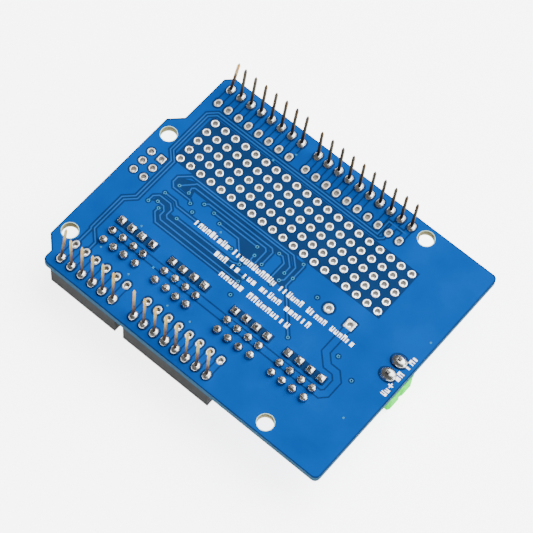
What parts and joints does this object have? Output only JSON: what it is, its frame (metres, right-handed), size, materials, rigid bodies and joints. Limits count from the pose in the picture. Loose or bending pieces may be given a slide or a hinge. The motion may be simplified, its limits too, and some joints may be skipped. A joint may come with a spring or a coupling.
{
  "type": "servo driver board",
  "caption": "Plug-on servo driver board with stackable headers, prototyping grid, servo headers, power terminal block and reset switch; lies solder side up.",
  "frame": {"origin": "under the centre of the board's outline, on the plane of the stackable headers' open mouths, which the board lies on", "axes": "+Z out of the solder side, +X towards the power terminal end, +Y towards the digital header row"},
  "size_m": [0.0686, 0.0534, 0.0205],
  "materials": {
    "board_mask": "satin blue solder mask over glass laminate",
    "socket_plastic": "moulded, dark grey",
    "dark_pin": "dark plated, dull",
    "gold_pin": "thin gold plate",
    "header_plastic": "moulded, black",
    "terminal_plastic": "moulded, green",
    "plated_steel": "zinc plated",
    "tinned_brass": "tinned",
    "chip_plastic": "moulded, black",
    "button_plastic": "moulded, black",
    "light_lens": "clear resin",
    "capacitor_body": "fired ceramic, tan"
  },
  "bodies": {
    "board": {"circuit_board": "board_mask", "digital_socket_8way": "socket_plastic", "digital_socket_10way": "socket_plastic", "analogue_socket_6way": "socket_plastic", "power_socket_8way": "socket_plastic", "digital_pin_1": "dark_pin", "digital_pin_2": "dark_pin", "digital_pin_3": "dark_pin", "digital_pin_4": "dark_pin", "digital_pin_5": "dark_pin", "digital_pin_6": "dark_pin", "digital_pin_7": "dark_pin", "digital_pin_8": "dark_pin", "digital_pin_9": "dark_pin", "digital_pin_10": "dark_pin", "digital_pin_11": "dark_pin", "digital_pin_12": "dark_pin", "digital_pin_13": "dark_pin", "digital_pin_14": "dark_pin", "digital_pin_15": "dark_pin", "digital_pin_16": "dark_pin", "digital_pin_17": "dark_pin", "digital_pin_18": "dark_pin", "analogue_pin_1": "gold_pin", "analogue_pin_2": "gold_pin", "analogue_pin_3": "gold_pin", "analogue_pin_4": "gold_pin", "analogue_pin_5": "gold_pin", "analogue_pin_6": "gold_pin", "power_pin_1": "gold_pin", "power_pin_2": "gold_pin", "power_pin_3": "gold_pin", "power_pin_4": "gold_pin", "power_pin_5": "gold_pin", "power_pin_6": "gold_pin", "power_pin_7": "gold_pin", "power_pin_8": "gold_pin", "servo_header_1": "header_plastic", "servo_header_2": "header_plastic", "servo_header_3": "header_plastic", "servo_header_4": "header_plastic", "terminal_housing": "terminal_plastic", "terminal_tail_1": "tinned_brass", "terminal_tail_2": "tinned_brass", "reset_switch_base": "chip_plastic", "reset_switch_dome": "plated_steel", "reset_switch_cover": "plated_steel", "driver_chip": "chip_plastic", "supply_transistor": "chip_plastic", "resistor_array_1": "chip_plastic", "resistor_array_2": "chip_plastic", "resistor_array_3": "chip_plastic", "resistor_array_4": "chip_plastic", "power_light": "light_lens", "bypass_capacitor": "capacitor_body"},
    "screw_1": {"terminal_screw_1": "plated_steel"},
    "screw_2": {"terminal_screw_2": "plated_steel"},
    "clamp_1": {"clamp_cage_1": "plated_steel"},
    "clamp_2": {"clamp_cage_2": "plated_steel"},
    "button": {"reset_button": "button_plastic"}
  },
  "joints": [
    {"name": "reset_press", "type": "slide", "parent": "board", "child": "button", "axis": [0, 0, 1], "range_m": [0, 0.00025], "stiffness_N_per_m": 4000},
    {"name": "clamp_1_rise", "type": "slide", "parent": "board", "child": "clamp_1", "axis": [0, 0, -1], "range_m": [0, 0.0017]},
    {"name": "screw_1_turn", "type": "hinge", "parent": "board", "child": "screw_1", "pos_m": [0.03059, -0.00232, 0.0005], "axis": [0, 0, 1], "range_deg": [0, 1530]},
    {"name": "clamp_2_rise", "type": "slide", "parent": "board", "child": "clamp_2", "axis": [0, 0, -1], "range_m": [0, 0.0017]},
    {"name": "screw_2_turn", "type": "hinge", "parent": "board", "child": "screw_2", "pos_m": [0.03059, 0.00118, 0.0005], "axis": [0, 0, 1], "range_deg": [0, 1530]}
  ],
  "couplings": [
    {"joint": "screw_1_turn", "follows": "clamp_1_rise", "rad_per_m": 15707},
    {"joint": "screw_2_turn", "follows": "clamp_2_rise", "rad_per_m": 15707}
  ]
}
